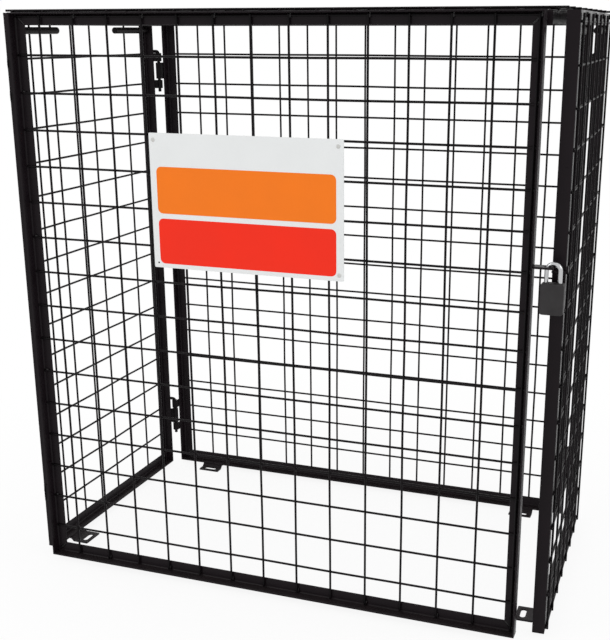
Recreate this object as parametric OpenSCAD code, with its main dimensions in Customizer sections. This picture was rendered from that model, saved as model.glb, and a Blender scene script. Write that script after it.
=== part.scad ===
// Gas cylinder cage: flat panels of welded mesh in mitred angle frames, a hinged front door
// with a padlock, and a lift-on roof. Front is -Y, Z = 0 is the floor, X = 0 is the middle.

/* [Cage] */
// width over the angle frames of the two side panels
cage_w = 1186; // [900:1:1800]
// height of the side and back panels
panel_h = 1237; // [900:1:1800]
// depth of the side panels, from their front ends to their back ends
cage_d = 584; // [350:0.5:1000]
// height of the side and back panels above the floor, on their feet
foot_h = 10; // [6:1:30]
// angle by which the right side panel stands open at its front end
splay = 1.9; // [0:0.1:4]
// free space between the side panels and the back panel
back_gap = 18; // [12:1:40]

/* [Angle iron] */
// leg of the angle
leg = 25; // [15:1:40]
// wall of the angle
wall = 3; // [2:0.5:5]

/* [Mesh] */
// wire diameter
wire_d = 4; // [2:0.5:6]
// depth by which crossing wires sink into each other at their welds
wire_sink = 0.4; // [0.1:0.1:1]
// distance from the edge of a panel to the ends of its wires
wire_edge = 5; // [4:1:20]
// flat sides on a wire
wire_sides = 8; // [6:1:12]
// offset of the lowest level wire from the bottom of a fixed panel
level_first = 11.5; // [8:0.5:100]
// pitch of the level wires of the fixed panels
level_pitch = 75.35; // [50:0.05:100]
// pitch of the upright wires of a side panel
side_pitch = 79.5; // [50:0.5:100]
// pitch of the upright wires of the back panel
back_pitch = 77; // [50:0.5:100]

/* [Roof] */
// free space between the roof rim and the edges of the panels around it
roof_gap = 4; // [2:1:20]
// free space between the roof rim and the back panel
roof_back_gap = 4; // [2:1:20]
// pitch of the roof wires that run across the cage
roof_across_pitch = 76.5; // [50:0.5:100]
// pitch of the roof wires that run from front to back
roof_along_pitch = 76.5; // [50:0.5:100]
// distance from the sides of the cage to the ends of the roof wires
roof_wire_inset = 2; // [0:0.5:10]

/* [Door] */
// height of the door above the floor
door_lift = 14; // [6:1:40]
// drop of the top of the door below the tops of the panels
door_drop = 0; // [0:1:40]
// space between the lock side of the door and the side panel beside it
door_side_gap = 10.5; // [8:0.5:40]
// free space between the door and the ends of the side panels
door_gap = 18.5; // [17:0.5:60]
// opening angle shown, closed is 0
door_angle = 0; // [0:1:105]
// offset of the first upright wire from the hinge side of the door
door_first = 64.2; // [30:0.1:100]
// pitch of the upright wires of the door
door_pitch = 79.5; // [50:0.5:100]
// offset of the lowest level wire from the bottom of the door
door_level_first = 69.7; // [30:0.1:100]
// pitch of the level wires of the door
door_level_pitch = 77; // [50:0.1:100]

/* [Hinges] */
// diameter of a hinge pin
pin_d = 8; // [5:0.5:12]
// play of a pin in its knuckles, on the radius
pin_play = 0.1; // [0.05:0.05:1]
// outside diameter of a knuckle
knuckle_d = 16; // [12:0.5:24]
// height of an end knuckle
knuckle_end = 21; // [10:1:40]
// height of a middle knuckle
knuckle_mid = 41; // [20:1:60]
// space between two knuckles
knuckle_gap = 3; // [1:0.5:6]
// thickness of the strap that joins a knuckle to its post
strap_t = 3; // [2:0.5:5]
// length of a strap along the side of the back panel or the door
strap_run = 20; // [10:1:24]
// strip of the post left free beside a strap
strap_inset = 2; // [1:0.5:6]
// depth by which a strap runs into its knuckle
strap_bite = 1; // [0.5:0.5:2]
// space between the hinge knuckles and the inside of the side posts
knuckle_clear = 0.5; // [0.5:0.5:4]
// middle of the upper hinges below the tops of the panels
hinge_drop = 137; // [80:1:500]
// middle of the lower hinges above the floor
hinge_low = 151; // [80:1:500]
// length of the bent top arm of a pin
pin_arm = 18; // [10:1:30]
// length of the pin below its lowest knuckle
pin_tail = 9; // [4:1:20]

/* [Feet] */
// thickness of a foot
tab_t = 3; // [2:0.5:6]
// length of a foot along its rail
tab_len = 58; // [40:1:90]
// length by which a foot runs under its rail
tab_hold = 15; // [8:1:20]
// distance from the edge of the rail to the slope of a foot
tab_bend = 1; // [0.5:0.5:4]
// run of the slope of a foot
tab_slope = 7; // [5:1:12]
// reach of a side foot beyond its rail
side_tab_reach = 46; // [25:1:60]
// distance from the front end of a side panel to the middle of its foot
side_tab_inset = 84; // [40:0.5:200]
// reach of a back foot beyond its rail
back_tab_reach = 30; // [22:1:60]
// distance from the end of the back panel to the middle of a foot
back_tab_inset = 102; // [60:1:300]
// length of a slot, end to end
slot_len = 34; // [20:1:50]
// width of a slot
slot_w = 12; // [8:1:16]
// distance from the free edge of a foot to the middle of its slot
slot_edge = 15; // [12:1:30]

/* [Top bars] */
// diameter of the round bars under the roof
bar_d = 15; // [6:1:20]
// length of the bar at the front
bar_front_len = 175; // [60:1:260]
// length of the bar at the back
bar_back_len = 160; // [60:1:260]
// drop of the middle of the bars below the tops of the panels
bar_drop = 36; // [32:1:80]

/* [Lock] */
// height of the top of the door lug
lug_z = 793; // [400:1:1200]
// thickness of the lugs
lug_t = 4; // [3:0.5:6]
// reach of the door lug beside the door
door_lug_reach = 39; // [26:1:46]
// length of the door lug from front to back
door_lug_len = 24; // [16:1:25]
// distance of the shackle leg from the door
shackle_offset = 24.7; // [14:0.1:30]
// play of the shackle in the hole of the door lug, on the radius
lug_hole_play = 1; // [0.5:0.5:3]
// length by which that hole runs on, away from the door
lug_hole_run = 3; // [1:0.5:6]
// drop of the post lug below the door lug
post_lug_drop = 8; // [4:1:30]
// width of the post lug
post_lug_w = 27; // [20:1:50]
// reach of the post lug in front of the post
post_lug_reach = 11.5; // [8:0.5:13]
// height of the upturned end of the post lug
post_lug_lip = 10; // [4:1:20]
// width of the padlock body
lock_w = 45; // [30:1:60]
// height of the padlock body
lock_h = 60; // [40:1:80]
// thickness of the padlock body
lock_t = 22; // [14:1:30]
// corner radius of the padlock body
lock_r = 6; // [2:1:10]
// diameter of the shackle rod
shackle_d = 8; // [5:0.5:10]
// distance between the middles of the shackle legs
shackle_span = 26; // [18:1:36]
// length of the shackle leg seen above the body
shackle_rise = 23; // [15:1:50]

/* [Sign] */
// width of the sign plate
sign_w = 424; // [200:1:600]
// height of the sign plate
sign_h = 279; // [100:1:500]
// thickness of the sign plate
sign_t = 2; // [1:0.5:4]
// offset of the middle of the sign from the middle of the door, toward the hinges
sign_offset = 33; // [0:1:200]
// drop of the top of the sign below the top of the door
sign_drop = 235; // [60:1:800]
// corner radius of the sign
sign_r = 8; // [2:1:20]

/* [Hidden] */
half_w = cage_w / 2;
side_len = cage_d;
side_front = cage_d / 2;
side_back = cage_d / 2;
panel_top = foot_h + panel_h;
back_y = side_back + back_gap + leg;
hinge_x = half_w - leg - knuckle_d / 2 - knuckle_clear;
back_w = 2 * (hinge_x - knuckle_d / 2);
rear_pin_y = side_back + strap_t + knuckle_d / 2 - strap_bite;
front_pin_y = -side_front - strap_t - knuckle_d / 2 + strap_bite;
door_x = -hinge_x + knuckle_d / 2;
door_y = -side_front - door_gap;
door_w = half_w - leg - door_side_gap - door_x;
door_h = panel_top - door_drop - door_lift;
hinge_high = panel_top - hinge_drop;
wire_half = wire_d / 2 * cos(180 / wire_sides);
end_margin = wire_edge + wire_d / 2;
level_lay = wire_half;
level_count = wires(panel_h, level_first, level_pitch);
side_count = wires(side_len, end_margin, side_pitch);
back_count = wires(back_w, end_margin, back_pitch);
side_start = (side_len - (side_count - 1) * side_pitch) / 2;
back_start = (back_w - (back_count - 1) * back_pitch) / 2;
door_count = wires(door_w, door_first, door_pitch);
door_level_count = wires(door_h, door_level_first, door_level_pitch);
upright_lay = wire_half * 3 - wire_sink;
mesh_t = upright_lay + wire_half;
sign_x = door_x + (door_w - sign_w) / 2 - sign_offset;
sign_y = door_y - wall - mesh_t;
sign_z = door_lift + door_h - sign_drop - sign_h;
lock_x = door_x + door_w + shackle_offset;
lock_y = door_y - door_lug_len / 2;
arch_r = shackle_span / 2;
lug_hole_r = shackle_d / 2 + lug_hole_play;
arch_z = lug_z - sqrt(pow(arch_r - shackle_d / 2, 2) - pow(arch_r - lug_hole_run - lug_hole_r, 2));
lock_top = arch_z - shackle_rise;
bore_r = pin_d / 2 + pin_play;
x_low = -half_w - mesh_t;
mesh_high = swung_x(half_w + mesh_t, side_start - side_front);
post_lug_high = swung_x(half_w - leg + post_lug_w + lug_t, -side_front - post_lug_reach);
x_high = max(mesh_high, post_lug_high, lock_x + arch_r + lock_w / 2);
y_low = min(door_y - leg, lock_y - lock_t / 2);
y_high = back_y + mesh_t;
$fn = 48;

// Number of wires that fit between the first one and the far end of the panel.
function wires(size, first, pitch) = floor((size - first - end_margin) / pitch) + 1;

// Where a point of the right side panel comes to lie sideways when the panel is swung open.
function swung_x(x, y) = hinge_x + (x - hinge_x) * cos(splay) - (y - rear_pin_y) * sin(splay);

steel = [0.06, 0.06, 0.065];
zinc = [0.62, 0.63, 0.64];
chrome = [0.8, 0.81, 0.82];
lock_grey = [0.16, 0.16, 0.17];
sign_white = [0.9, 0.91, 0.91];

// Moves the cage so that the middle of its bounding box stands over the origin.
module centred() {
  translate([-(x_low + x_high) / 2, -(y_low + y_high) / 2, 0])
    children();
}

// Plate from the origin toward +X and +Y with round corners.
module round_plate(w, h, r, t) {
  linear_extrude(t)
    union() {
      translate([r, 0])
        square([w - 2 * r, h]);
      translate([0, r])
        square([w, h - 2 * r]);
      for (x = [r, w - r], y = [r, h - r])
        translate([x, y])
          circle(r = r);
    }
}

// Angle bar along X with mitred ends: the flange lies in the plane of the panel, its outer
// edge on Y = 0, and the lip stands up from that edge.
module mitred_angle(len) {
  linear_extrude(wall)
    polygon([[0, 0], [len, 0], [len - leg, leg], [leg, leg]]);
  linear_extrude(leg)
    polygon([[0, 0], [len, 0], [len - wall, wall], [wall, wall]]);
}

module low_bar(w, h) {
  mitred_angle(w);
}

module high_bar(w, h) {
  translate([0, h, 0])
    mirror([0, 1, 0])
      mitred_angle(w);
}

module start_bar(w, h) {
  mirror([1, -1, 0])
    mitred_angle(h);
}

module end_bar(w, h) {
  translate([w, 0, 0])
    mirror([1, 0, 0])
      mirror([1, -1, 0])
        mitred_angle(h);
}

// Welded mesh on a panel of size w by h: wires along X lie at height lay_x, wires along Y
// at height lay_y.
module mesh(w, h, edge_x, edge_y, x_first, x_pitch, x_count, y_first, y_pitch, y_count, lay_x, lay_y) {
  for (i = [0 : y_count - 1])
    translate([edge_x, y_first + i * y_pitch, lay_x])
      rotate([0, 90, 0])
        rotate([0, 0, 180 / wire_sides])
          cylinder(d = wire_d, h = w - 2 * edge_x, $fn = wire_sides);
  for (i = [0 : x_count - 1])
    translate([x_first + i * x_pitch, edge_y, lay_y])
      rotate([-90, 0, 0])
        rotate([0, 0, 180 / wire_sides])
          cylinder(d = wire_d, h = h - 2 * edge_y, $fn = wire_sides);
}

// Places for the panels. A panel is drawn with its width along X, its height along Y and
// its inner side toward +Z.
module left_place() {
  translate([-half_w, -side_front, foot_h])
    rotate([90, 0, 90])
      children();
}

// Swings what belongs to the right side panel open, about the pins at its back end.
module right_swing() {
  translate([hinge_x, rear_pin_y, 0])
    rotate([0, 0, splay])
      translate([-hinge_x, -rear_pin_y, 0])
        children();
}

module right_place() {
  right_swing()
    mirror([1, 0, 0])
      left_place()
        children();
}

module back_place() {
  translate([-back_w / 2, back_y, foot_h])
    rotate([90, 0, 0])
      children();
}

module roof_place() {
  translate([-half_w, -side_front, panel_top])
    mirror([0, 0, 1])
      children();
}

module door_turn() {
  translate([-hinge_x, front_pin_y, 0])
    rotate([0, 0, -door_angle])
      translate([hinge_x, -front_pin_y, 0])
        children();
}

module door_place() {
  door_turn()
    translate([door_x, door_y, door_lift])
      rotate([90, 0, 0])
        children();
}

// Side panels
module side_mesh() {
  mesh(side_len, panel_h, wire_edge, wire_edge, side_start, side_pitch, side_count,
    level_first, level_pitch, level_count, -level_lay, -upright_lay);
}

module left_front_post() { color(steel) centred() left_place() start_bar(side_len, panel_h); }
module left_back_post() { color(steel) centred() left_place() end_bar(side_len, panel_h); }
module left_top_rail() { color(steel) centred() left_place() high_bar(side_len, panel_h); }
module left_bottom_rail() { color(steel) centred() left_place() low_bar(side_len, panel_h); }
module left_mesh() { color(steel) centred() left_place() side_mesh(); }

module right_front_post() { color(steel) centred() right_place() start_bar(side_len, panel_h); }
module right_back_post() { color(steel) centred() right_place() end_bar(side_len, panel_h); }
module right_top_rail() { color(steel) centred() right_place() high_bar(side_len, panel_h); }
module right_bottom_rail() { color(steel) centred() right_place() low_bar(side_len, panel_h); }
module right_mesh() { color(steel) centred() right_place() side_mesh(); }

// Back panel
module back_left_post() { color(steel) centred() back_place() start_bar(back_w, panel_h); }
module back_right_post() { color(steel) centred() back_place() end_bar(back_w, panel_h); }
module back_top_rail() { color(steel) centred() back_place() high_bar(back_w, panel_h); }
module back_bottom_rail() { color(steel) centred() back_place() low_bar(back_w, panel_h); }

module back_mesh() {
  color(steel) centred()
    back_place()
      mesh(back_w, panel_h, wire_edge, wire_edge, back_start, back_pitch, back_count,
        level_first, level_pitch, level_count, -level_lay, -upright_lay);
}

// Roof: its rim drops between the panels and its wires lie on their top rails
roof_w = cage_w - 2 * (leg + roof_gap);
roof_d = side_front + back_y - leg - roof_back_gap;
mesh_d = side_front + back_y;
roof_along_count = floor((cage_w - 2 * roof_wire_inset) / roof_along_pitch) + 1;
roof_across_count = floor((mesh_d - 2 * roof_wire_inset) / roof_across_pitch) + 1;

module roof_rim() {
  roof_place()
    translate([leg + roof_gap, 0, 0])
      children();
}

module roof_front_rail() { color(steel) centred() roof_rim() low_bar(roof_w, roof_d); }
module roof_back_rail() { color(steel) centred() roof_rim() high_bar(roof_w, roof_d); }
module roof_left_rail() { color(steel) centred() roof_rim() start_bar(roof_w, roof_d); }
module roof_right_rail() { color(steel) centred() roof_rim() end_bar(roof_w, roof_d); }

module roof_mesh() {
  color(steel) centred()
    roof_place()
      mesh(cage_w, mesh_d, roof_wire_inset, roof_wire_inset,
        (cage_w - (roof_along_count - 1) * roof_along_pitch) / 2, roof_along_pitch, roof_along_count,
        (mesh_d - (roof_across_count - 1) * roof_across_pitch) / 2, roof_across_pitch,
        roof_across_count, -upright_lay, -level_lay);
}

// Door: its lip faces forward and its mesh lies on the front of the flange
module door_left_stile() { color(steel) centred() door_place() start_bar(door_w, door_h); }
module door_right_stile() { color(steel) centred() door_place() end_bar(door_w, door_h); }
module door_top_rail() { color(steel) centred() door_place() high_bar(door_w, door_h); }
module door_bottom_rail() { color(steel) centred() door_place() low_bar(door_w, door_h); }

module door_mesh() {
  color(steel) centred()
    door_place()
      mesh(door_w, door_h, wire_edge, wire_edge, door_first, door_pitch, door_count,
        door_level_first, door_level_pitch, door_level_count, wall + level_lay, wall + upright_lay);
}

// Loose-pin hinges. The side panel holds the end knuckles of the upper hinge and the middle
// knuckle of the lower one, its neighbour holds the others.
end_off = knuckle_mid / 2 + knuckle_gap;

module end_pair(mid_z) {
  for (z = [mid_z + end_off, mid_z - end_off - knuckle_end])
    translate([0, 0, z])
      children();
}

// strap from the pin along a post face: reach toward -X from the pin, on its -Y side
module side_strap(h) {
  translate([strap_inset - (half_w - hinge_x), strap_bite - knuckle_d / 2 - strap_t, 0])
    cube([half_w - hinge_x - strap_inset, strap_t, h]);
}

module side_leaf(h) {
  difference() {
    union() {
      cylinder(d = knuckle_d, h = h);
      side_strap(h);
    }
    translate([0, 0, -1])
      cylinder(r = bore_r, h = h + 2);
  }
}

// strap from the pin along the outer edge of the neighbour: reach toward +Y on its +X side
module edge_leaf(h, lead) {
  difference() {
    union() {
      cylinder(d = knuckle_d, h = h);
      translate([knuckle_d / 2 - strap_t, 0, 0])
        cube([strap_t, lead + strap_run, h]);
    }
    translate([0, 0, -1])
      cylinder(r = bore_r, h = h + 2);
  }
}

module side_knuckles() {
  end_pair(hinge_high)
    side_leaf(knuckle_end);
  translate([0, 0, hinge_low - knuckle_mid / 2])
    side_leaf(knuckle_mid);
}

module edge_knuckles(lead) {
  translate([0, 0, hinge_high - knuckle_mid / 2])
    edge_leaf(knuckle_mid, lead);
  end_pair(hinge_low)
    edge_leaf(knuckle_end, lead);
}

// pin with its top bent over toward -X
module pin() {
  top = end_off + knuckle_end + pin_d / 2;
  translate([0, 0, -end_off - knuckle_end - pin_tail])
    cylinder(d = pin_d, h = top + end_off + knuckle_end + pin_tail);
  translate([0, 0, top])
    sphere(d = pin_d);
  translate([0, 0, top])
    rotate([0, -90, 0])
      cylinder(d = pin_d, h = pin_arm);
}

module pins() {
  for (z = [hinge_high, hinge_low])
    translate([0, 0, z])
      pin();
}

module left_rear_knuckles() {
  color(steel) centred()
    translate([-hinge_x, rear_pin_y, 0])
      side_knuckles();
}

module right_rear_knuckles() {
  color(steel) centred()
    right_swing()
      translate([hinge_x, rear_pin_y, 0])
        mirror([1, 0, 0])
          side_knuckles();
}

rear_lead = back_y - leg - rear_pin_y;

module back_left_knuckles() {
  color(steel) centred()
    translate([-hinge_x, rear_pin_y, 0])
      edge_knuckles(rear_lead);
}

module back_right_knuckles() {
  color(steel) centred()
    translate([hinge_x, rear_pin_y, 0])
      mirror([1, 0, 0])
        edge_knuckles(rear_lead);
}

module left_front_knuckles() {
  color(steel) centred()
    translate([-hinge_x, front_pin_y, 0])
      mirror([0, 1, 0])
        side_knuckles();
}

module door_knuckles() {
  color(steel) centred()
    door_turn()
      translate([-hinge_x, front_pin_y, 0])
        mirror([0, 1, 0])
          edge_knuckles(front_pin_y - door_y);
}

module rear_pins() {
  color(zinc) centred() {
    translate([-hinge_x, rear_pin_y, 0])
      pins();
    translate([hinge_x, rear_pin_y, 0])
      mirror([1, 0, 0])
        pins();
  }
}

// the arms of these pins point inward, out of the way of the open door
module door_pins() {
  color(zinc) centred()
    translate([-hinge_x, front_pin_y, 0])
      rotate([0, 0, -90])
        pins();
}

// Feet: plates under the edge of the rail, stepped down to the floor, with a slot along the rail
tab_skew = tab_t * tan(atan((foot_h - tab_t) / tab_slope) / 2);

module tab(reach) {
  difference() {
    translate([-tab_len / 2, 0, 0])
      rotate([90, 0, 90])
        linear_extrude(tab_len)
          polygon([
            [-tab_hold, foot_h],
            [tab_bend, foot_h],
            [tab_bend + tab_slope, tab_t],
            [reach, tab_t],
            [reach, 0],
            [tab_bend + tab_slope - tab_skew, 0],
            [tab_bend - tab_skew, foot_h - tab_t],
            [-tab_hold, foot_h - tab_t]
          ]);
    translate([0, reach - slot_edge, -1])
      linear_extrude(tab_t + 2)
        union() {
          square([slot_len - slot_w, slot_w], center = true);
          for (s = [-1, 1])
            translate([s * (slot_len - slot_w) / 2, 0])
              circle(d = slot_w);
        }
  }
}

module left_floor_tab() {
  color(steel) centred()
    translate([-half_w + leg, side_tab_inset - side_front, 0])
      rotate([0, 0, -90])
        tab(side_tab_reach);
}

module right_floor_tab() {
  color(steel) centred()
    right_swing()
      translate([half_w - leg, side_tab_inset - side_front, 0])
        rotate([0, 0, 90])
          tab(side_tab_reach);
}

module back_floor_tabs() {
  color(steel) centred()
    for (s = [-1, 1])
      translate([s * (back_w / 2 - back_tab_inset), back_y - leg, 0])
        rotate([0, 0, 180])
          tab(back_tab_reach);
}

// Round bars on the inside of the side panels, just under the roof
module top_bar(len) {
  cylinder(d = bar_d, h = len - bar_d / 2);
  translate([0, 0, len - bar_d / 2])
    sphere(d = bar_d);
}

module top_bars() {
  translate([-half_w + wall + bar_d / 2, -side_front + wall, panel_top - bar_drop])
    rotate([-90, 0, 0])
      top_bar(bar_front_len);
  translate([-half_w + wall + bar_d / 2, side_back - wall, panel_top - bar_drop])
    rotate([90, 0, 0])
      top_bar(bar_back_len);
}

module left_top_bars() { color(steel) centred() top_bars(); }
module right_top_bars() { color(steel) centred() right_swing() mirror([1, 0, 0]) top_bars(); }

// Sign plate on the front of the door mesh
module sign_plate() {
  color(sign_white) centred()
    door_turn()
      translate([sign_x, sign_y, sign_z])
        rotate([90, 0, 0])
          round_plate(sign_w, sign_h, sign_r, sign_t);
}

// Lock: a lug on the door that carries the padlock, and a lug on the post beside it
module door_lug() {
  color(steel) centred()
    door_turn()
      difference() {
        translate([door_x + door_w, lock_y - door_lug_len / 2, lug_z - lug_t])
          cube([door_lug_reach, door_lug_len, lug_t]);
        for (run = [0, lug_hole_run])
          translate([lock_x + run, lock_y, lug_z - lug_t - 1])
            cylinder(r = lug_hole_r, h = lug_t + 2);
        translate([lock_x, lock_y - lug_hole_r, lug_z - lug_t - 1])
          cube([lug_hole_run, 2 * lug_hole_r, lug_t + 2]);
      }
}

module post_lug() {
  color(steel) centred()
    right_swing()
      translate([half_w - leg, -side_front - post_lug_reach, lug_z - 2 * lug_t - post_lug_drop]) {
        cube([post_lug_w, post_lug_reach, lug_t]);
        translate([post_lug_w, 0, 0])
          cube([lug_t, post_lug_reach, lug_t + post_lug_lip]);
      }
}

module padlock_body() {
  color(lock_grey) centred()
    door_turn()
      translate([lock_x + arch_r - lock_w / 2, lock_y + lock_t / 2, lock_top - lock_h])
        rotate([90, 0, 0])
          round_plate(lock_w, lock_h, lock_r, lock_t);
}

module padlock_shackle() {
  color(chrome) centred()
    door_turn()
      translate([lock_x + arch_r, lock_y, arch_z]) {
        rotate([90, 0, 0])
          rotate_extrude(angle = 180)
            translate([arch_r, 0])
              circle(d = shackle_d);
        for (s = [-1, 1])
          translate([s * arch_r, 0, -shackle_rise])
            cylinder(d = shackle_d, h = shackle_rise);
      }
}

left_front_post();
left_back_post();
left_top_rail();
left_bottom_rail();
left_mesh();
right_front_post();
right_back_post();
right_top_rail();
right_bottom_rail();
right_mesh();
back_left_post();
back_right_post();
back_top_rail();
back_bottom_rail();
back_mesh();
roof_front_rail();
roof_back_rail();
roof_left_rail();
roof_right_rail();
roof_mesh();
door_left_stile();
door_right_stile();
door_top_rail();
door_bottom_rail();
door_mesh();
left_rear_knuckles();
right_rear_knuckles();
back_left_knuckles();
back_right_knuckles();
left_front_knuckles();
door_knuckles();
rear_pins();
door_pins();
left_floor_tab();
right_floor_tab();
back_floor_tabs();
left_top_bars();
right_top_bars();
sign_plate();
door_lug();
post_lug();
padlock_body();
padlock_shackle();
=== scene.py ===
import math
import random

import bmesh
import bpy
from mathutils import Matrix, Vector


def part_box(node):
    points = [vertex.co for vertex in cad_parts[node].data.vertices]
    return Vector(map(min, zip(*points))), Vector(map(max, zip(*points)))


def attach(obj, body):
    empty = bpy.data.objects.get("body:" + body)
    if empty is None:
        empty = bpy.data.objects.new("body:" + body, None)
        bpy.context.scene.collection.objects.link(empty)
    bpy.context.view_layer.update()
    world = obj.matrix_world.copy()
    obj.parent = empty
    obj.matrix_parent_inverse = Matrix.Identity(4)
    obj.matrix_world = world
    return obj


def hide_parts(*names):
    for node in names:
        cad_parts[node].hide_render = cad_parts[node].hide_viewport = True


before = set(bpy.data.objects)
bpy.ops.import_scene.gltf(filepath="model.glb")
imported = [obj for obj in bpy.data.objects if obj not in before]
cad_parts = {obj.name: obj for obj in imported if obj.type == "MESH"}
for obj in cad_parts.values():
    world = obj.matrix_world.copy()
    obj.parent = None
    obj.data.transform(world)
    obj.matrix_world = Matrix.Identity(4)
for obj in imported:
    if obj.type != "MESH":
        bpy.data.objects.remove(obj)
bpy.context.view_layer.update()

# Camera: at chest height in front of the right half of the door, looking a little to the
# left and down, so that the front, the edge-on right side and the door's lip show.
FOCAL_PX, FRAME_W, FRAME_H = 1085.47, 610, 640
CENTRE_X, CENTRE_Y = 345.10, 358.43
STANDS_AT = (0.88954, -2.30979, 1.21300)
SENSOR = 36.0
turned, tipped = math.radians(19.8), math.radians(-16.852)
ahead = Vector((-math.sin(turned) * math.cos(tipped), math.cos(turned) * math.cos(tipped),
                math.sin(tipped)))
across = Vector((math.cos(turned), math.sin(turned), 0.0))
lens = bpy.data.cameras.new("camera")
camera = bpy.data.objects.new("camera", lens)
bpy.context.scene.collection.objects.link(camera)
camera.matrix_world = Matrix.Translation(STANDS_AT) @ Matrix(
    (across, across.cross(ahead), -ahead)).transposed().to_4x4()
lens.sensor_width = SENSOR
lens.lens = FOCAL_PX * SENSOR / FRAME_H
lens.shift_x = (FRAME_W / 2 - CENTRE_X) / FRAME_H
lens.shift_y = (CENTRE_Y - FRAME_H / 2) / FRAME_H
lens.clip_end = 200.0
bpy.context.scene.camera = camera
bpy.context.scene.view_settings.view_transform = "Standard"


# Floor, surroundings and lamps: a white studio sweep. The surroundings light the cage evenly,
# two wide soft lamps model the steel, and the paper runs out into a bright white backdrop.
def colour(hex_code):
    """Linear colour with alpha from an sRGB hex code."""
    parts = [int(hex_code[i:i + 2], 16) / 255.0 for i in (1, 3, 5)]
    return [p / 12.92 if p <= 0.04045 else ((p + 0.055) / 1.055) ** 2.4 for p in parts] + [1.0]


def add_node(tree, kind, inputs=None, **settings):
    """Adds one shader node with its settings; an input is a value or another node's output."""
    made = tree.nodes.new("ShaderNode" + kind)
    for name, value in settings.items():
        setattr(made, name, value)
    for name, value in (inputs or {}).items():
        if isinstance(value, bpy.types.NodeSocket):
            tree.links.new(value, made.inputs[name])
        else:
            made.inputs[name].default_value = value
    return made


def straight_to_the_eye(tree):
    """1 for what the camera sees, by itself or in steel and plastic, and 0 for what only lights."""
    ray = add_node(tree, "LightPath")
    seen = add_node(tree, "Math", {0: ray.outputs["Is Camera Ray"],
                                   1: ray.outputs["Is Glossy Ray"]}, operation="MAXIMUM")
    return add_node(tree, "Math", {0: seen.outputs[0], 1: ray.outputs["Is Transmission Ray"]},
                    operation="MAXIMUM").outputs[0]


surroundings = bpy.data.worlds.new("studio surroundings")
bpy.context.scene.world = surroundings
surroundings.use_nodes = True
cove = surroundings.node_tree
cove.nodes.clear()
lit = add_node(cove, "Background", {"Color": colour("#ffffff"), "Strength": 0.86})
backdrop = add_node(cove, "Background", {"Color": colour("#ffffff"), "Strength": 1.0})
both = add_node(cove, "MixShader", {0: straight_to_the_eye(cove), 1: lit.outputs[0],
                                    2: backdrop.outputs[0]})
add_node(cove, "OutputWorld", {"Surface": both.outputs[0]})


def soft_lamp(name, place, target, size, watts):
    """Wide round lamp, size in metres across, turned to its target."""
    light = bpy.data.lights.new(name, "AREA")
    light.shape, light.size, light.energy = "DISK", size, watts
    lamp = bpy.data.objects.new(name, light)
    bpy.context.scene.collection.objects.link(lamp)
    lamp.location = place
    lamp.rotation_mode = "QUATERNION"
    lamp.rotation_quaternion = (Vector(target) - Vector(place)).to_track_quat("-Z", "Y")


soft_lamp("key lamp", (-2.6, -3.2, 3.6), (0, 0, 0.6), 2.4, 34)
soft_lamp("side lamp", (3.6, -1.2, 2.4), (0.3, 0, 0.6), 1.8, 20)

white_paper = bpy.data.materials.new("matt white paper sweep")
white_paper.use_nodes = True
sweep = white_paper.node_tree
paper = sweep.nodes["Principled BSDF"]
paper.inputs["Base Color"].default_value = colour("#f7f7f7")
paper.inputs["Roughness"].default_value = 0.9
fibre = add_node(sweep, "TexNoise", {"Scale": 260.0, "Detail": 3.0})
grain = add_node(sweep, "Bump", {"Height": fibre.outputs[0], "Strength": 0.05, "Distance": 0.0005})
sweep.links.new(grain.outputs[0], paper.inputs["Normal"])
# To the eye and in reflections the paper is bright white from 1.5 m off, and keeps the
# shadow of the cage nearer in.
from_cage = add_node(sweep, "VectorMath", {0: add_node(sweep, "TexCoord").outputs["Object"]},
                     operation="LENGTH")
far_out = add_node(sweep, "MapRange", {0: from_cage.outputs["Value"], 1: 0.5, 2: 1.5, 3: 0.88,
                                       4: 1.0})
bright = add_node(sweep, "Math", {0: straight_to_the_eye(sweep), 1: far_out.outputs[0]},
                  operation="MULTIPLY")
white = add_node(sweep, "Emission", {"Color": colour("#ffffff"), "Strength": 1.0})
paper_mix = add_node(sweep, "MixShader", {0: bright.outputs[0], 1: paper.outputs[0],
                                          2: white.outputs[0]})
sweep.links.new(paper_mix.outputs[0], sweep.nodes["Material Output"].inputs["Surface"])
ground = bpy.data.meshes.new("floor")
ground.from_pydata([(-30, -30, 0), (30, -30, 0), (30, 60, 0), (-30, 60, 0)], [], [(0, 1, 2, 3)])
ground.materials.append(white_paper)
floor = bpy.data.objects.new("floor", ground)
bpy.context.scene.collection.objects.link(floor)

# Panel frames: hot-rolled equal angle, 25 x 25 x 3 mm mild steel, mitred and welded at the
# corners. The side and back panels and the roof turn their lip inward, the door forward.
MM = 0.001
ANGLE_LEG, ANGLE_WALL, ROOT_R, TOE_R, HEEL_R, EDGE_R = 25.0, 3.0, 3.5, 2.0, 0.9, 0.35


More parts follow.
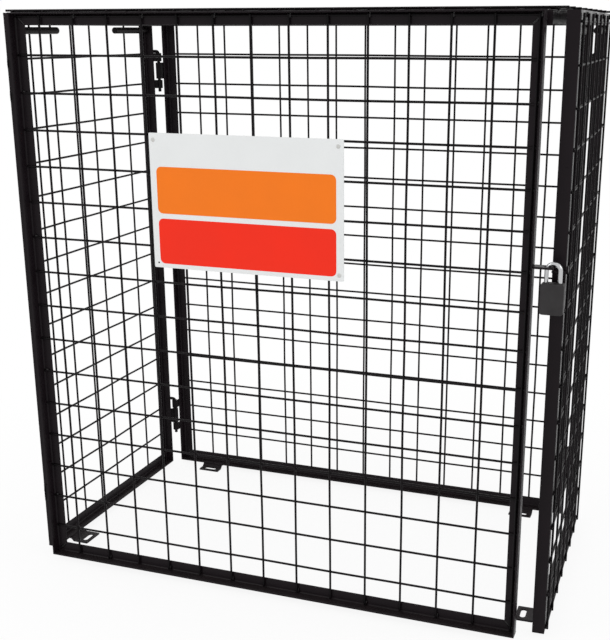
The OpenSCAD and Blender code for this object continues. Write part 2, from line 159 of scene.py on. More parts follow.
def powder_coat(name, black, gloss, peel_mm, peel_depth, dust, shine=0.1):
    """Black powder coat, sprayed and baked: a dead black skin with soft, slightly dimpled
    highlights, duller patches where it is thinner, and a little grey dust on what faces up."""
    finish = bpy.data.materials.new(name)
    finish.use_nodes = True
    tree = finish.node_tree
    skin = tree.nodes["Principled BSDF"]
    skin.inputs["IOR"].default_value = 1.5
    skin.inputs["Specular IOR Level"].default_value = shine
    spot = add_node(tree, "TexCoord").outputs["Object"]
    cloud = add_node(tree, "TexNoise", {"Vector": spot, "Scale": 14.0, "Detail": 4.0,
                                        "Roughness": 0.6})
    speck = add_node(tree, "TexNoise", {"Vector": spot, "Scale": 420.0, "Detail": 2.0})
    rough = add_node(tree, "MapRange", {0: cloud.outputs[0], 1: 0.3, 2: 0.7, 3: gloss - 0.07,
                                        4: gloss + 0.13})
    tree.links.new(rough.outputs[0], skin.inputs["Roughness"])
    facing = add_node(tree, "SeparateXYZ", {0: add_node(tree, "NewGeometry").outputs["Normal"]})
    up = add_node(tree, "MapRange", {0: facing.outputs["Z"], 1: 0.3, 2: 1.0, 3: 0.0, 4: dust})
    flecks = add_node(tree, "MapRange", {0: speck.outputs[0], 1: 0.5, 2: 0.72, 3: 0.25, 4: 1.0})
    settled = add_node(tree, "Math", {0: up.outputs[0], 1: flecks.outputs[0]}, operation="MULTIPLY")
    patch = add_node(tree, "MapRange", {0: cloud.outputs[0], 1: 0.35, 2: 0.75, 3: 0.0, 4: 0.6})
    coat = add_node(tree, "Mix", {"Factor": patch.outputs[0], 6: colour(black),
                                  7: colour("#1f181c")}, data_type="RGBA")
    dusty = add_node(tree, "Mix", {"Factor": settled.outputs[0], 6: coat.outputs[2],
                                   7: colour("#6b6763")}, data_type="RGBA")
    tree.links.new(dusty.outputs[2], skin.inputs["Base Color"])
    peel = add_node(tree, "TexNoise", {"Vector": spot, "Scale": 1.0 / (peel_mm * MM),
                                       "Detail": 2.0})
    dimples = add_node(tree, "Bump", {"Height": peel.outputs[0], "Strength": 0.5,
                                      "Distance": peel_depth * MM})
    tree.links.new(dimples.outputs[0], skin.inputs["Normal"])
    return finish


# The orange peel of the real coat repeats every 1 to 2 mm. It is drawn at 5 mm, so that it shows.
coated_angle = powder_coat("black powder-coated angle", "#161114", 0.3, 5.0, 0.12, 0.1)


def arc(cx, cy, r, start, stop, steps):
    """Points along an arc, angles in degrees."""
    return [(cx + r * math.cos(math.radians(start + (stop - start) * i / steps)),
             cy + r * math.sin(math.radians(start + (stop - start) * i / steps)))
            for i in range(steps + 1)]


def piece_from(name, verts, faces, finish, body, stands_for=(),
               crease=38.0):
    """Makes one piece of the cage from its mesh, gives it its finish and lets it ride."""
    shape = bpy.data.meshes.new(name)
    shape.from_pydata([tuple(v) for v in verts], [], faces)
    tidy = bmesh.new()
    tidy.from_mesh(shape)
    bmesh.ops.recalc_face_normals(tidy, faces=tidy.faces)
    tidy.to_mesh(shape)
    tidy.free()
    shape.materials.append(finish)
    shape.polygons.foreach_set("use_smooth", [True] * len(shape.polygons))
    shape.set_sharp_from_angle(angle=math.radians(crease))
    made = bpy.data.objects.new(name, shape)
    bpy.context.scene.collection.objects.link(made)
    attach(made, body)
    if stands_for:
        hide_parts(*stands_for)
    return made


def tube_faces(rings, sides):
    """Faces of a closed bar whose points come ring after ring."""
    skin = [(i * sides + k, i * sides + (k + 1) % sides, (i + 1) * sides + (k + 1) % sides,
             (i + 1) * sides + k) for i in range(rings - 1) for k in range(sides)]
    last = rings * sides - 1
    return skin + [tuple(range(sides)), tuple(range(last, last - sides, -1))]


def angle_section():
    """Outline of the angle: across the flange, then along the lip, heel at the corner."""
    far = ANGLE_LEG - EDGE_R
    toe = ANGLE_LEG - TOE_R
    root = ANGLE_WALL + ROOT_R
    return (arc(HEEL_R, HEEL_R, HEEL_R, 180, 270, 4) + arc(far, EDGE_R, EDGE_R, 270, 360, 2)
            + arc(toe, ANGLE_WALL - TOE_R, TOE_R, 0, 90, 4)
            + arc(root, root, ROOT_R, 270, 180, 5)
            + arc(ANGLE_WALL - TOE_R, toe, TOE_R, 0, 90, 4)
            + arc(EDGE_R, far, EDGE_R, 90, 180, 2))


class Panel:
    """A flat panel: its corner, the directions of its width, height and lip, and its size."""

    def __init__(self, corner, along, up, lip, width, height, body):
        self.corner, self.along, self.up, self.lip = map(Vector, (corner, along, up, lip))
        self.width, self.height, self.body = width / MM, height / MM, body

    def at(self, x, y, z):
        """Place of a point given in mm on the panel."""
        return self.corner + (self.along * x + self.up * y + self.lip * z) * MM


def reach(*nodes):
    """Low corner, high corner and size of the box round some solids."""
    boxes = [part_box(n) for n in nodes]
    low = Vector([min(b[0][i] for b in boxes) for i in range(3)])
    high = Vector([max(b[1][i] for b in boxes) for i in range(3)])
    return low, high, high - low


X, Y, Z = Vector((1, 0, 0)), Vector((0, 1, 0)), Vector((0, 0, 1))
# The right panel is the left one seen in a mirror, standing a little open on its rear pins.
OPEN_BY = math.radians(1.9)
MIDDLE = sum(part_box("back_mesh")[end][0] for end in (0, 1)) / 2
KNUCKLE_R = 8.0
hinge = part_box("back_right_knuckles")
rear_pin = Vector((hinge[0][0] + KNUCKLE_R * MM, hinge[0][1] + KNUCKLE_R * MM, 0))
SWUNG = (Matrix.Translation(rear_pin) @ Matrix.Rotation(OPEN_BY, 4, "Z")
         @ Matrix.Translation(-rear_pin))


def swung(points):
    """Swings points of the right side panel open with it."""
    return [SWUNG @ Vector(p) for p in points]


def mirrored_box(node):
    """Box that a left-hand piece would have on the right of the closed cage."""
    low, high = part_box(node)
    return (Vector((2 * MIDDLE - high[0], low[1], low[2])),
            Vector((2 * MIDDLE - low[0], high[1], high[2])))


FRAME_BARS = {
    "left": ("bottom_rail", "top_rail", "front_post", "back_post"),
    "right": ("bottom_rail", "top_rail", "front_post", "back_post"),
    "back": ("bottom_rail", "top_rail", "left_post", "right_post"),
    "roof": ("front_rail", "back_rail", "left_rail", "right_rail"),
    "door": ("bottom_rail", "top_rail", "left_stile", "right_stile"),
}
panels = {}
for side, bars in FRAME_BARS.items():
    low, high, size = reach(*[side + "_" + bar for bar in bars])
    if side == "left":
        panels[side] = Panel(low, Y, Z, X, size.y, size.z, "cage")
    elif side == "right":
        left = panels["left"]
        turn = SWUNG.to_3x3()
        corner = (2 * MIDDLE - left.corner.x, left.corner.y, left.corner.z)
        panels[side] = Panel(swung([corner])[0], turn @ Y, Z, turn @ -X, left.width * MM,
                             left.height * MM, "cage")
    elif side == "roof":
        panels[side] = Panel((low.x, low.y, high.z), X, Y, -Z, size.x, size.y, "cage")
    else:
        panels[side] = Panel((low.x, high.y, low.z), X, Z, -Y, size.x, size.z,
                             "door" if side == "door" else "cage")


def mitred_bar(panel, which):
    """One bar of a panel frame, its section carried from mitre to mitre."""
    section = angle_section()
    run = panel.width if which < 2 else panel.height
    verts = []
    for end in (0, 1):
        for a, b in section:
            s = a if end == 0 else run - a
            x, y = [(s, a), (s, panel.height - a), (a, s), (panel.width - a, s)][which]
            verts.append(panel.at(x, y, b))
    return verts, tube_faces(2, len(section))


for side, bars in FRAME_BARS.items():
    for which, bar in enumerate(bars):
        verts, faces = mitred_bar(panels[side], which)
        name = side + "_" + bar
        piece_from(name + "_angle", verts, faces, coated_angle, panels[side].body, [name])

# Corner welds: a short run of weld across each mitre on the flange and up the heel, laid by
# hand in overlapping ripples and coated over, so it shows as a soft row of bumps.
coated_weld = powder_coat("black powder-coated weld", "#0d0b0c", 0.2, 4.0, 0.3, 0.1, 0.3)


def bead(start, end, out, width, rise, seed, pitch=2.6):
    """Weld bead from start to end, in metres: a half-round bead with rippled, uneven crown."""
    rng = random.Random(seed)
    start, end, out = Vector(start), Vector(end), Vector(out).normalized()
    run = end - start
    side = run.normalized().cross(out).normalized()
    count = max(8, int(run.length / (pitch * MM) * 4))
    verts, faces, ring = [], [], 7
    sway = [rng.uniform(-0.6, 0.6) for _ in range(count + 2)]
    for i in range(count + 1):
        t = i / count
        swell = math.sin(math.pi * min(1.0, 0.18 + t * 0.9, 1.08 - t * 0.9)) ** 0.5
        ripple = 0.82 + 0.18 * math.sin(t * run.length / (pitch * MM) * 2 * math.pi)
        w = width * MM / 2 * swell * (0.9 + 0.1 * ripple)
        h = rise * MM * swell * ripple
        mid = start + run * t + side * (sway[i] * 0.3 * MM)
        for k in range(ring):
            turn = math.pi * k / (ring - 1)
            verts.append(mid + side * (w * math.cos(turn))
                         + out * (h * math.sin(turn) - 0.3 * MM))
    for i in range(count):
        for k in range(ring - 1):
            a = i * ring + k
            faces.append((a, a + 1, a + ring + 1, a + ring))
        faces.append((i * ring + ring - 1, i * ring, (i + 1) * ring, (i + 1) * ring + ring - 1))
    faces.append(tuple(range(ring)))
    faces.append(tuple(range(len(verts) - 1, len(verts) - ring - 1, -1)))
    return verts, faces


def merged(parts):
    """Joins meshes, given as lists of points and faces, into one."""
    verts, faces = [], []
    for v, f in parts:
        faces += [tuple(i + len(verts) for i in face) for face in f]
        verts += v
    return verts, faces


for number, (side, panel) in enumerate(panels.items()):
    runs = []
    for k, (right, top) in enumerate(((0, 0), (1, 0), (0, 1), (1, 1))):
        sx, sy = (-1 if right else 1), (-1 if top else 1)
        x, y = right * panel.width, top * panel.height
        out = -panel.lip
        runs.append(bead(panel.at(x + sx, y + sy, 0), panel.at(x + 24 * sx, y + 24 * sy, 0), out,
                         6.5, 1.1, number * 8 + k))
        runs.append(bead(panel.at(x + 7 * sx, y + 7 * sy, 3), panel.at(x + 24 * sx, y + 24 * sy, 3),
                         panel.lip, 6.0, 1.6, number * 8 + k + 4))
    verts, faces = merged(runs)
    piece_from(side + "_corner_welds", verts, faces, coated_weld, panel.body, crease=60)

# Welded mesh: drawn mild steel wire, 4 mm, spot-welded where it crosses and tacked by its ends
# to the frames, then coated. The long wires are never quite straight. They are drawn 4.8 mm
# thick, so that they carry as much weight to the eye as the real ones.
# The same coat lies thinner on the wire, so it is blacker and less glossy than on the angle.
coated_wire = powder_coat("black powder-coated wire", "#060506", 0.36, 4.0, 0.1, 0.06)
WIRE_R, LEVEL_LAY, UPRIGHT_LAY = 2.4, 1.85, 4.42
WIRE_SIDES = 10


def wire(panel, start, end, lay, bend, rng, bow=0.0):
    """One wire from start to end (mm on the panel) at height lay, with a slight wander."""
    (x0, y0), (x1, y1) = start, end
    length = math.hypot(x1 - x0, y1 - y0)
    dx, dy = (x1 - x0) / length, (y1 - y0) / length
    steps = max(2, int(length / 38))
    waves = [(rng.uniform(0.5, 3.0), rng.uniform(0, 6.28), rng.uniform(0.3, 1.0)) for _ in range(3)]
    stations = [(0.0, 0.55), (0.8, 1.0)] + [(length * i / steps, 1.0) for i in range(1, steps)]
    stations += [(length - 0.8, 1.0), (length, 0.55)]
    verts = []
    for s, share in stations:
        t = s / length
        hold = math.sin(math.pi * t)
        off = bend * hold * sum(a * math.sin(2 * math.pi * f * t + p) for f, p, a in waves) / 2
        for k in range(WIRE_SIDES):
            turn = 2 * math.pi * k / WIRE_SIDES
            across_off = off + WIRE_R * share * math.cos(turn)
            height = lay + bow * hold + 0.15 * off + WIRE_R * share * math.sin(turn)
            verts.append(panel.at(x0 + dx * s - dy * across_off, y0 + dy * s + dx * across_off,
                                  height))
    return verts, tube_faces(len(stations), WIRE_SIDES)


def nugget(panel, x, y, height, rx, ry, rz):
    """Small lump of weld metal, flattened."""
    verts, rings, n = [], 3, 8
    for j in range(1, rings + 1):
        tip = math.pi * j / (rings + 1)
        for k in range(n):
            turn = 2 * math.pi * k / n
            verts.append(panel.at(x + rx * math.sin(tip) * math.cos(turn),
                                  y + ry * math.sin(tip) * math.sin(turn),
                                  height + rz * math.cos(tip)))
    return verts, tube_faces(rings, n)


# width and height of the mesh's panel, ends, then first wire, pitch and count of the uprights
# and of the levels, and the side of the flange that the mesh lies on
roof_low, roof_high, roof_size = reach("roof_mesh")
panels["roof_mesh"] = Panel((roof_low.x - 2 * MM, roof_low.y - 2 * MM, panels["roof"].corner.z),
                            X, Y, -Z, roof_size.x + 4 * MM, roof_size.y + 4 * MM, "cage")
MESHES = {
    "left": ("left", 5, (13.75, 79.5, 8), (11.5, 75.35, 17), -1),
    "right": ("right", 5, (13.75, 79.5, 8), (11.5, 75.35, 17), -1),
    "back": ("back", 5, (12.5, 77, 15), (11.5, 75.35, 17), -1),
    "roof": ("roof_mesh", 2, (19.25, 76.5, 16), (7.5, 76.5, 9), -1),
    "door": ("door", 5, (64.2, 79.5, 14), (69.7, 77, 16), 1),
}
for number, (side, (place, edge, uprights, levels, face)) in enumerate(MESHES.items()):
    rng = random.Random(100 + number)
    panel = panels[place]
    base = ANGLE_WALL if face > 0 else 0.0
    columns = [uprights[0] + i * uprights[1] for i in range(uprights[2])]
    rows = [levels[0] + i * levels[1] for i in range(levels[2])]
    level_z, upright_z = face * (base + LEVEL_LAY), face * (base + UPRIGHT_LAY)
    if side == "roof":
        level_z, upright_z = upright_z, level_z
    runs = []
    for y in rows:
        runs.append(wire(panel, (edge, y), (panel.width - edge, y), level_z, 0.9, rng))
    for x in columns:
        runs.append(wire(panel, (x, edge), (x, panel.height - edge), upright_z, 0.9, rng))
    for x in columns:
        for y in rows:
            runs.append(nugget(panel, x, y, (level_z + upright_z) / 2, 2.6, 2.6, 1.3))
    verts, faces = merged(runs)
    piece_from(side + "_welded_mesh", verts, faces, coated_wire, panel.body, [side + "_mesh"],
               crease=50)

    # tack welds: every fourth level and every second upright is caught to the flange by a
    # blob of weld beside the wire, near its end
    tacks = []
    if side != "roof":
        for k, y in enumerate(rows):
            if k % 4 == 1:
                for x in (edge + 6, panel.width - edge - 6):
                    tacks.append(nugget(panel, x, y + 3.0, face * (base + 1.6), 4.2, 3.0, 2.4))
                    tacks.append(nugget(panel, x + 3.5, y + 3.4, face * (base + 1.2),
                                        2.6, 2.2, 1.9))
        for k, x in enumerate(columns):
            if k % 2 == 1:
                for y in (edge + 4, panel.height - edge - 4):
                    tacks.append(nugget(panel, x + 3.0, y, face * (base + 2.6), 3.0, 4.4, 3.2))
                    tacks.append(nugget(panel, x + 3.6, y + 4, face * (base + 1.8), 2.2, 2.8, 2.2))
        verts, faces = merged(tacks)
        piece_from(side + "_tack_welds", verts, faces, coated_weld, panel.body, crease=60)

# Hinges: pressed steel knuckles welded to the posts, alternately on one panel and on its
# neighbour, with a loose 8 mm rod bent over at the top dropped through them as the pin.
# The coat gathers a little on small parts, so the knuckles have a slightly wavier shine.
coated_knuckle = powder_coat("black powder-coated hinge", "#090708", 0.3, 4.0, 0.15, 0.14)
BORE_R, STRAP_T = 4.1, 3.0
KNUCKLE_END, KNUCKLE_MID, KNUCKLE_GAP = 21.0, 41.0, 3.0
HINGE_LOW, HINGE_HIGH = 151.0, 1110.0


def turned_ring(centre, low, height, outer, inner, chamfer=0.8):
    """Tube standing on end, with eased edges."""
    profile = [(inner, 0), (outer - chamfer, 0), (outer, chamfer), (outer, height - chamfer),
               (outer - chamfer, height), (inner, height)]
    verts, faces, n, m = [], [], 36, len(profile)
    for k in range(n):
        turn = 2 * math.pi * k / n
        for r, z in profile:
            verts.append(Vector((centre[0] + r * MM * math.cos(turn),
                                 centre[1] + r * MM * math.sin(turn), (low + z) * MM)))
    for k in range(n):
        for i in range(m):
            a, b = k * m + i, k * m + (i + 1) % m
            c, d = ((k + 1) % n) * m + (i + 1) % m, ((k + 1) % n) * m + i
            faces.append((a, b, c, d))
    return verts, faces


def flat_bar(low, high, ease=0.5):
    """Sheared flat bar between two corners, in metres, with eased edges."""
    block = bmesh.new()
    bmesh.ops.create_cube(block, size=1.0)
    low, high = Vector(low), Vector(high)
    for v in block.verts:
        v.co = Vector([(low[i] + high[i]) / 2 + v.co[i] * (high[i] - low[i]) for i in range(3)])
    bmesh.ops.bevel(block, geom=block.edges[:], offset=ease * MM, segments=2, affect="EDGES",
                    profile=0.5)
    block.verts.ensure_lookup_table()
    verts = [v.co.copy() for v in block.verts]
    faces = [tuple(v.index for v in f.verts) for f in block.faces]
    block.free()
    return verts, faces


ends = [KNUCKLE_MID / 2 + KNUCKLE_GAP, -KNUCKLE_MID / 2 - KNUCKLE_GAP - KNUCKLE_END]
HINGE_SETS = {
    "left_rear_knuckles": ("post", -1, -1, "cage"),
    "right_rear_knuckles": ("post", 1, -1, "cage"),
    "left_front_knuckles": ("post", -1, 1, "cage"),
    "back_left_knuckles": ("edge", -1, 1, "cage"),
    "back_right_knuckles": ("edge", 1, 1, "cage"),
    "door_knuckles": ("edge", -1, -1, "door"),
}
pin_lines = {}
for name, (kind, hand, way, body) in HINGE_SETS.items():
    low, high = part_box(name)
    if name == "right_rear_knuckles":
        low, high = mirrored_box("left_rear_knuckles")
    if kind == "post":
        pin = (high.x - KNUCKLE_R * MM if hand < 0 else low.x + KNUCKLE_R * MM,
               high.y - KNUCKLE_R * MM if way < 0 else low.y + KNUCKLE_R * MM)
        pin_lines[name] = pin
    else:
        pin = pin_lines[("left" if hand < 0 else "right") + ("_rear" if way > 0 else "_front")
                        + "_knuckles"]
    short = [HINGE_HIGH + e for e in ends] if kind == "post" else [HINGE_LOW + e for e in ends]
    long_one = (HINGE_LOW if kind == "post" else HINGE_HIGH) - KNUCKLE_MID / 2
    runs = []
    for z, h in [(z, KNUCKLE_END) for z in short] + [(long_one, KNUCKLE_MID)]:
        runs.append(turned_ring(pin, z, h, KNUCKLE_R, BORE_R))
        if kind == "post":
            x0 = low.x if hand < 0 else pin[0]
            x1 = pin[0] if hand < 0 else high.x
            y0 = low.y if way < 0 else high.y - STRAP_T * MM
            runs.append(flat_bar((x0, y0, z * MM), (x1, y0 + STRAP_T * MM, (z + h) * MM)))
            weld_x = x0 + 3 * MM if hand < 0 else x1 - 3 * MM
            face_y = y0 + (STRAP_T * MM if way < 0 else 0)
            runs.append(bead((weld_x, face_y, (z + 2) * MM), (weld_x, face_y, (z + h - 2) * MM),
                             (-hand, way * -1, 0), 5.0, 1.6, int(z)))
        else:
            x0 = high.x - STRAP_T * MM if hand < 0 else low.x
            y0 = pin[1] if way > 0 else low.y
            y1 = high.y if way > 0 else pin[1]
            runs.append(flat_bar((x0, y0, z * MM), (x0 + STRAP_T * MM, y1, (z + h) * MM)))
    verts, faces = merged(runs)
    if name == "right_rear_knuckles":
        verts = swung(verts)
    piece_from(name + "_welded", verts, faces, coated_knuckle, body, [name])


def rod(points, radius, sides=20, cap=0.8):
    """Round rod through the points, in metres, with eased ends."""
    verts = []
    points = [Vector(p) for p in points]
    first = (points[1] - points[0]).normalized()
    last = (points[-1] - points[-2]).normalized()
    path = [(points[0], 0.75), (points[0] + first * cap * MM, 1.0)]
    path += [(p, 1.0) for p in points[1:-1]]
    path += [(points[-1] - last * cap * MM, 1.0), (points[-1], 0.75)]
    previous = None
    for i, (p, share) in enumerate(path):
        a, b = path[max(0, i - 1)][0], path[min(len(path) - 1, i + 1)][0]
        along = (b - a).normalized()
        if previous is None:
            helper = X if abs(along.x) < 0.9 else Y
            u = along.cross(helper).normalized()
        else:
            u = (previous - along * previous.dot(along)).normalized()
        previous, v = u, along.cross(u)
        for k in range(sides):
            turn = 2 * math.pi * k / sides
            verts.append(p + (u * math.cos(turn) + v * math.sin(turn)) * radius * share * MM)
    return verts, tube_faces(len(path), sides)


PIN_R, PIN_TAIL, PIN_ARM, PIN_BEND = 4.0, 9.0, 18.0, 6.0
below = KNUCKLE_MID / 2 + KNUCKLE_GAP + KNUCKLE_END
for name, places in {"rear_pins": (("left_rear_knuckles", -X), ("right_rear_knuckles", X)),
                     "door_pins": (("left_front_knuckles", Y),)}.items():
    runs = []
    for knuckles, arm in places:
        x, y = pin_lines[knuckles]
        for mid in (HINGE_LOW, HINGE_HIGH):
            top = mid + below + PIN_R
            path = [(x, y, (mid - below - PIN_TAIL) * MM), (x, y, (top - PIN_BEND) * MM)]
            for dx, dz in arc(PIN_BEND, 0, PIN_BEND, 180, 90, 8)[1:]:
                path.append(Vector((x, y, (top - PIN_BEND + dz) * MM)) + arm * dx * MM)
            path.append(Vector((x, y, top * MM)) + arm * PIN_ARM * MM)
            runs.append(rod(path, PIN_R))
    verts, faces = merged(runs)
    piece_from(name + "_rod", verts, faces, coated_knuckle, "cage", [name])

# Feet: 3 mm flat bar, cropped, stepped down from under the bottom rail to the floor, with a
# punched slot for a ground anchor, welded to the edge of the rail and coated with it.
def cut_plate(outline, holes, thickness, ease, steps=2):
    """Flat plate with holes, in mm, lying from Z = 0 to its thickness, with eased edges."""
    sketch = bpy.data.curves.new("plate", "CURVE")
    sketch.dimensions, sketch.fill_mode = "2D", "BOTH"
    sketch.extrude = thickness / 2 - ease
    sketch.bevel_depth, sketch.bevel_resolution, sketch.offset = ease, steps, -ease
    for loop in [outline] + holes:
        line = sketch.splines.new("POLY")
        line.points.add(len(loop) - 1)
        for point, (x, y) in zip(line.points, loop):
            point.co = (x, y, 0, 1)
        line.use_cyclic_u = True
    holder = bpy.data.objects.new("plate", sketch)
    bpy.context.scene.collection.objects.link(holder)
    bpy.context.view_layer.update()
    solid = bpy.data.meshes.new_from_object(holder.evaluated_get(
        bpy.context.evaluated_depsgraph_get()))
    bpy.data.objects.remove(holder)
    bpy.data.curves.remove(sketch)
    verts = [v.co + Vector((0, 0, thickness / 2)) for v in solid.vertices]
    faces = [tuple(p.vertices) for p in solid.polygons]
    bpy.data.meshes.remove(solid)
    return verts, faces


def set_down(part, place):
    """Moves a part drawn in mm to its place in the cage."""
    verts, faces = part
    return [place @ (v * MM) for v in verts], faces


def rounded(x0, y0, x1, y1, r, steps=5):
    """Outline of a rectangle with rounded corners."""
    return (arc(x0 + r, y0 + r, r, 180, 270, steps) + arc(x1 - r, y0 + r, r, 270, 360, steps)
            + arc(x1 - r, y1 - r, r, 0, 90, steps) + arc(x0 + r, y1 - r, r, 90, 180, steps))


TAB_T, TAB_LEN, TAB_HOLD, FOOT_H = 3.0, 58.0, 15.0, 10.0
SLOT_LEN, SLOT_W, SLOT_EDGE = 34.0, 12.0, 15.0


def stepped_down(part):
    """Presses the step into a flat plate: up by 7 mm under the rail, flat on the floor beyond."""
    verts, faces = part
    plate = bmesh.new()
    made = [plate.verts.new(v) for v in verts]
    for face in faces:
        plate.faces.new([made[i] for i in face])
    bmesh.ops.remove_doubles(plate, verts=plate.verts[:], dist=0.001)
    for y in (0.3, 1.0, 1.8, 3.0, 4.5, 6.0, 7.2, 8.0, 8.7):
        bmesh.ops.bisect_plane(plate, geom=plate.verts[:] + plate.edges[:] + plate.faces[:],
                               plane_co=(0, y, 0), plane_no=(0, 1, 0))
    for v in plate.verts:
        t = min(1.0, max(0.0, (8.7 - v.co.y) / 8.4))
        v.co.z += (FOOT_H - TAB_T) * (t + (t * t * (3 - 2 * t) - t) * 0.6)
    plate.verts.index_update()
    result = [v.co.copy() for v in plate.verts], [tuple(v.index for v in f.verts)
                                                  for f in plate.faces]
    plate.free()
    return result


def floor_tab(reach_mm, place, way):
    """Foot at its rail's edge: place is the middle of that edge, way the direction it points."""
    slot = rounded(-SLOT_LEN / 2, reach_mm - SLOT_EDGE - SLOT_W / 2, SLOT_LEN / 2,
                   reach_mm - SLOT_EDGE + SLOT_W / 2, SLOT_W / 2 - 0.01, 8)
    plate = stepped_down(cut_plate(rounded(-TAB_LEN / 2, -TAB_HOLD, TAB_LEN / 2, reach_mm, 2.0),
                                   [slot], TAB_T, 0.4))
    sideways = Vector(way).cross(Z)
    turn = Matrix((sideways, Vector(way), Z)).transposed().to_4x4()
    matrix = Matrix.Translation(place) @ turn
    runs = [set_down(plate, matrix)]
    for x0, x1 in ((-0.024, -0.006), (0.008, 0.025)):
        start, end = (matrix @ Vector((x, 0.0004, 0.0105)) for x in (x0, x1))
        runs.append(bead(start, end, Vector(way) + Z, 5.0, 2.0, int(reach_mm + x0 * 1000)))
    return runs


for name, way in (("left_floor_tab", X), ("right_floor_tab", -X), ("back_floor_tabs", -Y)):
    low, high = mirrored_box("left_floor_tab") if name == "right_floor_tab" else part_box(name)
    if name == "back_floor_tabs":
        spots = [Vector((x, high.y - TAB_HOLD * MM, 0)) for x in (low.x + TAB_LEN / 2 * MM,
                                                                   high.x - TAB_LEN / 2 * MM)]
        depth = (high.y - low.y) / MM - TAB_HOLD
    else:
        edge = low.x + TAB_HOLD * MM if way.x > 0 else high.x - TAB_HOLD * MM
        spots = [Vector((edge, (low.y + high.y) / 2, 0))]
        depth = (high.x - low.x) / MM - TAB_HOLD
    verts, faces = merged([run for spot in spots for run in floor_tab(depth, spot, way)])
    if name == "right_floor_tab":
        verts = swung(verts)
    piece_from(name + "_slotted", verts, faces, coated_angle, "cage", [name])

# Top bars: short lengths of 15 mm round bar lying along the side panels under the roof,
# welded to the corner posts, with blunt rounded free ends.
# Same coat on smooth round bar, where it flows out evenly and shows one soft line of light.
coated_bar = powder_coat("black powder-coated round bar", "#090708", 0.28, 5.0, 0.12, 0.16)
BAR_R, FRONT_BAR, BACK_BAR = 7.5, 175.0, 160.0
for name in ("left_top_bars", "right_top_bars"):
    low, high = (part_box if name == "left_top_bars" else mirrored_box)("left_top_bars")
    x, z = (low.x + high.x) / 2, (low.z + high.z) / 2
    runs = []
    for y0, y1 in ((low.y, low.y + FRONT_BAR * MM), (high.y, high.y - BACK_BAR * MM)):
        step = 1 if y1 > y0 else -1
        path = [(x, y0, z), (x, (y0 + y1) / 2, z), (x, y1, z)]
        runs.append(rod(path, BAR_R, 24, 2.0))
        runs.append(bead((x, y0 + step * 0.001, z + 0.007), (x, y0 + step * 0.014, z + 0.007),
                         Z, 5.0, 1.2, int(x * 1000)))
    verts, faces = merged(runs)
    if name == "right_top_bars":
        verts = swung(verts)
    piece_from(name + "_round", verts, faces, coated_bar, "cage", [name])


# Sign: a white plastic plate, cut from rigid sheet and tied to the front of the door mesh at
# its corners, with an orange and a red block screen-printed on it.
def printed_plastic(name, hex_code, rough, mottle):
    """Extruded rigid PVC sheet, semi-matt: an even colour with a soft sheen, faint rolling
    marks, and a slight cloudiness from handling."""
    finish = bpy.data.materials.new(name)
    finish.use_nodes = True
    tree = finish.node_tree
    skin = tree.nodes["Principled BSDF"]
    skin.inputs["IOR"].default_value = 1.53
    skin.inputs["Specular IOR Level"].default_value = 0.2
    spot = add_node(tree, "TexCoord").outputs["Object"]
    cloud = add_node(tree, "TexNoise", {"Vector": spot, "Scale": 9.0, "Detail": 3.0})
    tint = add_node(tree, "HueSaturation", {"Color": colour(hex_code)})
    shade = add_node(tree, "MapRange", {0: cloud.outputs[0], 1: 0.3, 2: 0.7, 3: 1.0 - mottle,
                                        4: 1.0 + mottle * 0.3})
    tree.links.new(shade.outputs[0], tint.inputs["Value"])
    tree.links.new(tint.outputs[0], skin.inputs["Base Color"])
    wear = add_node(tree, "MapRange", {0: cloud.outputs[0], 1: 0.3, 2: 0.7, 3: rough - 0.05,
                                       4: rough + 0.1})
    tree.links.new(wear.outputs[0], skin.inputs["Roughness"])
    roll = add_node(tree, "TexNoise", {"Vector": spot, "Scale": 55.0, "Detail": 2.0})
    marks = add_node(tree, "Bump", {"Height": roll.outputs[0], "Strength": 0.25,
                                    "Distance": 0.0004})
    tree.links.new(marks.outputs[0], skin.inputs["Normal"])
    return finish


white_sheet = printed_plastic("white rigid PVC sheet", "#e6e8e8", 0.38, 0.03)
orange_ink = printed_plastic("orange screen ink", "#f47914", 0.5, 0.04)
red_ink = printed_plastic("red screen ink", "#f32a10", 0.5, 0.04)
clear_tie = printed_plastic("natural nylon fixing", "#c9c9c6", 0.35, 0.05)
SIGN_T, SIGN_R, HOLE_R, BLOCK_R, INK_T = 2.0, 2.6, 2.2, 11, 0.12
low, high, size = reach("sign_plate")
sign_w, sign_h = size.x / MM, size.z / MM
sign_face = Matrix.Translation((low.x, high.y, low.z)) @ Matrix((X, Z, -Y)).transposed().to_4x4()
holes = [(9.5, 10), (sign_w - 9.5, 12), (9.5, sign_h - 14), (sign_w - 11, sign_h - 14)]
plate = cut_plate(rounded(0, 0, sign_w, sign_h, SIGN_R),
                  [arc(x, y, HOLE_R, 0, 348, 15) for x, y in holes], SIGN_T, 0.3)
verts, faces = set_down(plate, sign_face)
piece_from("sign_sheet", verts, faces, white_sheet, "door", ["sign_plate"])
for name, ink, top, bottom in (("sign_orange_block", orange_ink, 68, 164.5),
                               ("sign_red_block", red_ink, 175, 270)):
    block = cut_plate(rounded(14, sign_h - bottom, sign_w - 15.5, sign_h - top, BLOCK_R), [],
                      INK_T, 0.02)
    lift = sign_face @ Matrix.Translation((0, 0, SIGN_T * MM))
    verts, faces = set_down(block, lift)
    piece_from(name, verts, faces, ink, "door")
caps = []
for x, y in holes[2:] + holes[1:2]:
    head = [Vector((x + p[0], y + p[1], z)) for z, r in ((2.0, 4.2), (2.9, 3.9), (3.5, 2.6))
            for p in arc(0, 0, r, 0, 337.5, 15)]
    caps.append(set_down((head, tube_faces(3, 16)), sign_face))
verts, faces = merged(caps)
piece_from("sign_fixings", verts, faces, clear_tie, "door")

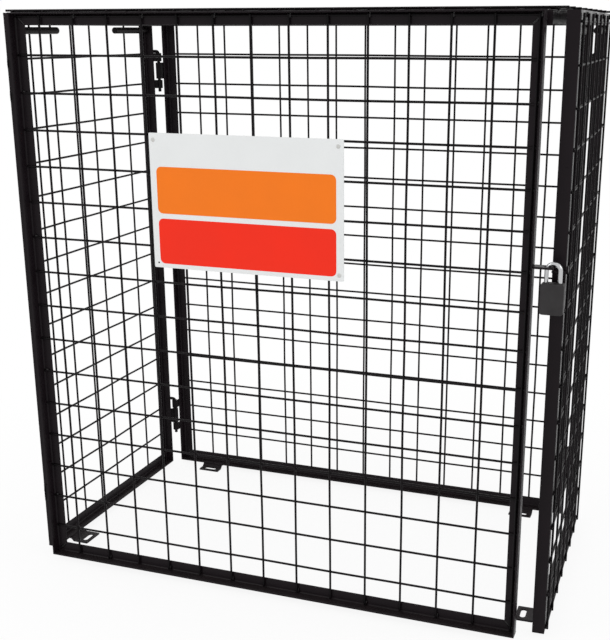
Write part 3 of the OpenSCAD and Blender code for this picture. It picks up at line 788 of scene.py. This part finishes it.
# Lock: two flat steel lugs, one welded to the door's edge and one to the post with its end
# turned up, and a padlock that hangs in the door's lug by its shackle.
LUG_T, LUG_R, HOLE_AT, SLOT_R = 4.0, 3.0, 24.7, 5.0
POST_LUG_REACH, POST_LUG_W = 11.5, 31.0
LOCK_R, ROD_R = 6.0, 4.0
low, high, size = reach("door_lug")
lug_outline = rounded(0, 0, size.x / MM, size.y / MM, LUG_R)
lug_hole = rounded(HOLE_AT - SLOT_R, size.y / MM / 2 - SLOT_R, HOLE_AT + 8,
                   size.y / MM / 2 + SLOT_R, SLOT_R - 0.01, 8)
verts, faces = set_down(cut_plate(lug_outline, [lug_hole], size.z / MM, 0.6),
                        Matrix.Translation(low))
piece_from("door_lug_flat", verts, faces, coated_angle, "door", ["door_lug"])
post = mirrored_box("left_front_post")
low = Vector((post[0].x, post[0].y - POST_LUG_REACH * MM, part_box("post_lug")[0].z))
high = Vector((post[0].x + POST_LUG_W * MM, post[0].y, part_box("post_lug")[1].z))
runs = [flat_bar(low, (high.x, high.y, low.z + LUG_T * MM), 0.6),
        flat_bar((high.x - LUG_T * MM, low.y, low.z), high, 0.6)]
verts, faces = merged(runs)
piece_from("post_lug_turned_up", swung(verts), faces, coated_angle, "cage", ["post_lug"])


def lock_shell(name, hex_code, rough, metal, bump):
    """Padlock body: die-cast zinc with a hard grey coat, smooth and dull, a little rubbed;
    shackle: hardened steel rod, polished and chrome plated."""
    finish = bpy.data.materials.new(name)
    finish.use_nodes = True
    tree = finish.node_tree
    skin = tree.nodes["Principled BSDF"]
    skin.inputs["Metallic"].default_value = metal
    spot = add_node(tree, "TexCoord").outputs["Object"]
    cloud = add_node(tree, "TexNoise", {"Vector": spot, "Scale": 60.0, "Detail": 4.0})
    wear = add_node(tree, "MapRange", {0: cloud.outputs[0], 1: 0.3, 2: 0.7, 3: rough - 0.06,
                                       4: rough + 0.12})
    tree.links.new(wear.outputs[0], skin.inputs["Roughness"])
    tint = add_node(tree, "Mix", {"Factor": cloud.outputs[0], 6: colour(hex_code),
                                  7: [c * 0.8 for c in colour(hex_code)[:3]] + [1.0]},
                    data_type="RGBA")
    tree.links.new(tint.outputs[2], skin.inputs["Base Color"])
    fine = add_node(tree, "TexNoise", {"Vector": spot, "Scale": 700.0, "Detail": 2.0})
    marks = add_node(tree, "Bump", {"Height": fine.outputs[0], "Strength": 0.3,
                                    "Distance": bump * MM})
    tree.links.new(marks.outputs[0], skin.inputs["Normal"])
    return finish


lock_grey = lock_shell("grey-coated die-cast zinc", "#171315", 0.55, 0.0, 0.1)
chrome_rod = lock_shell("chrome-plated steel rod", "#c8c9ca", 0.12, 1.0, 0.02)
low, high, size = reach("padlock_body")
body_plate = cut_plate(rounded(0, 0, size.x / MM, size.z / MM, LOCK_R, 8), [], size.y / MM, 2.5, 4)
lock_place = Matrix.Translation((low.x, high.y, low.z)) @ Matrix((X, Z, -Y)).transposed().to_4x4()
verts, faces = set_down(body_plate, lock_place)
piece_from("padlock_casting", verts, faces, lock_grey, "door", ["padlock_body"])
low, high, size = reach("padlock_shackle")
mid_x, mid_y = (low.x + high.x) / 2, (low.y + high.y) / 2
bend_r = size.x / 2 - ROD_R * MM
arch_z = high.z - size.x / 2
path = [(mid_x - bend_r, mid_y, low.z)]
path += [(mid_x + dx * MM, mid_y, arch_z + dz * MM)
         for dx, dz in arc(0, 0, bend_r / MM, 180, 0, 18)]
path += [(mid_x + bend_r, mid_y, low.z)]
verts, faces = rod(path, ROD_R, 24)
piece_from("padlock_rod", verts, faces, chrome_rod, "door", ["padlock_shackle"])
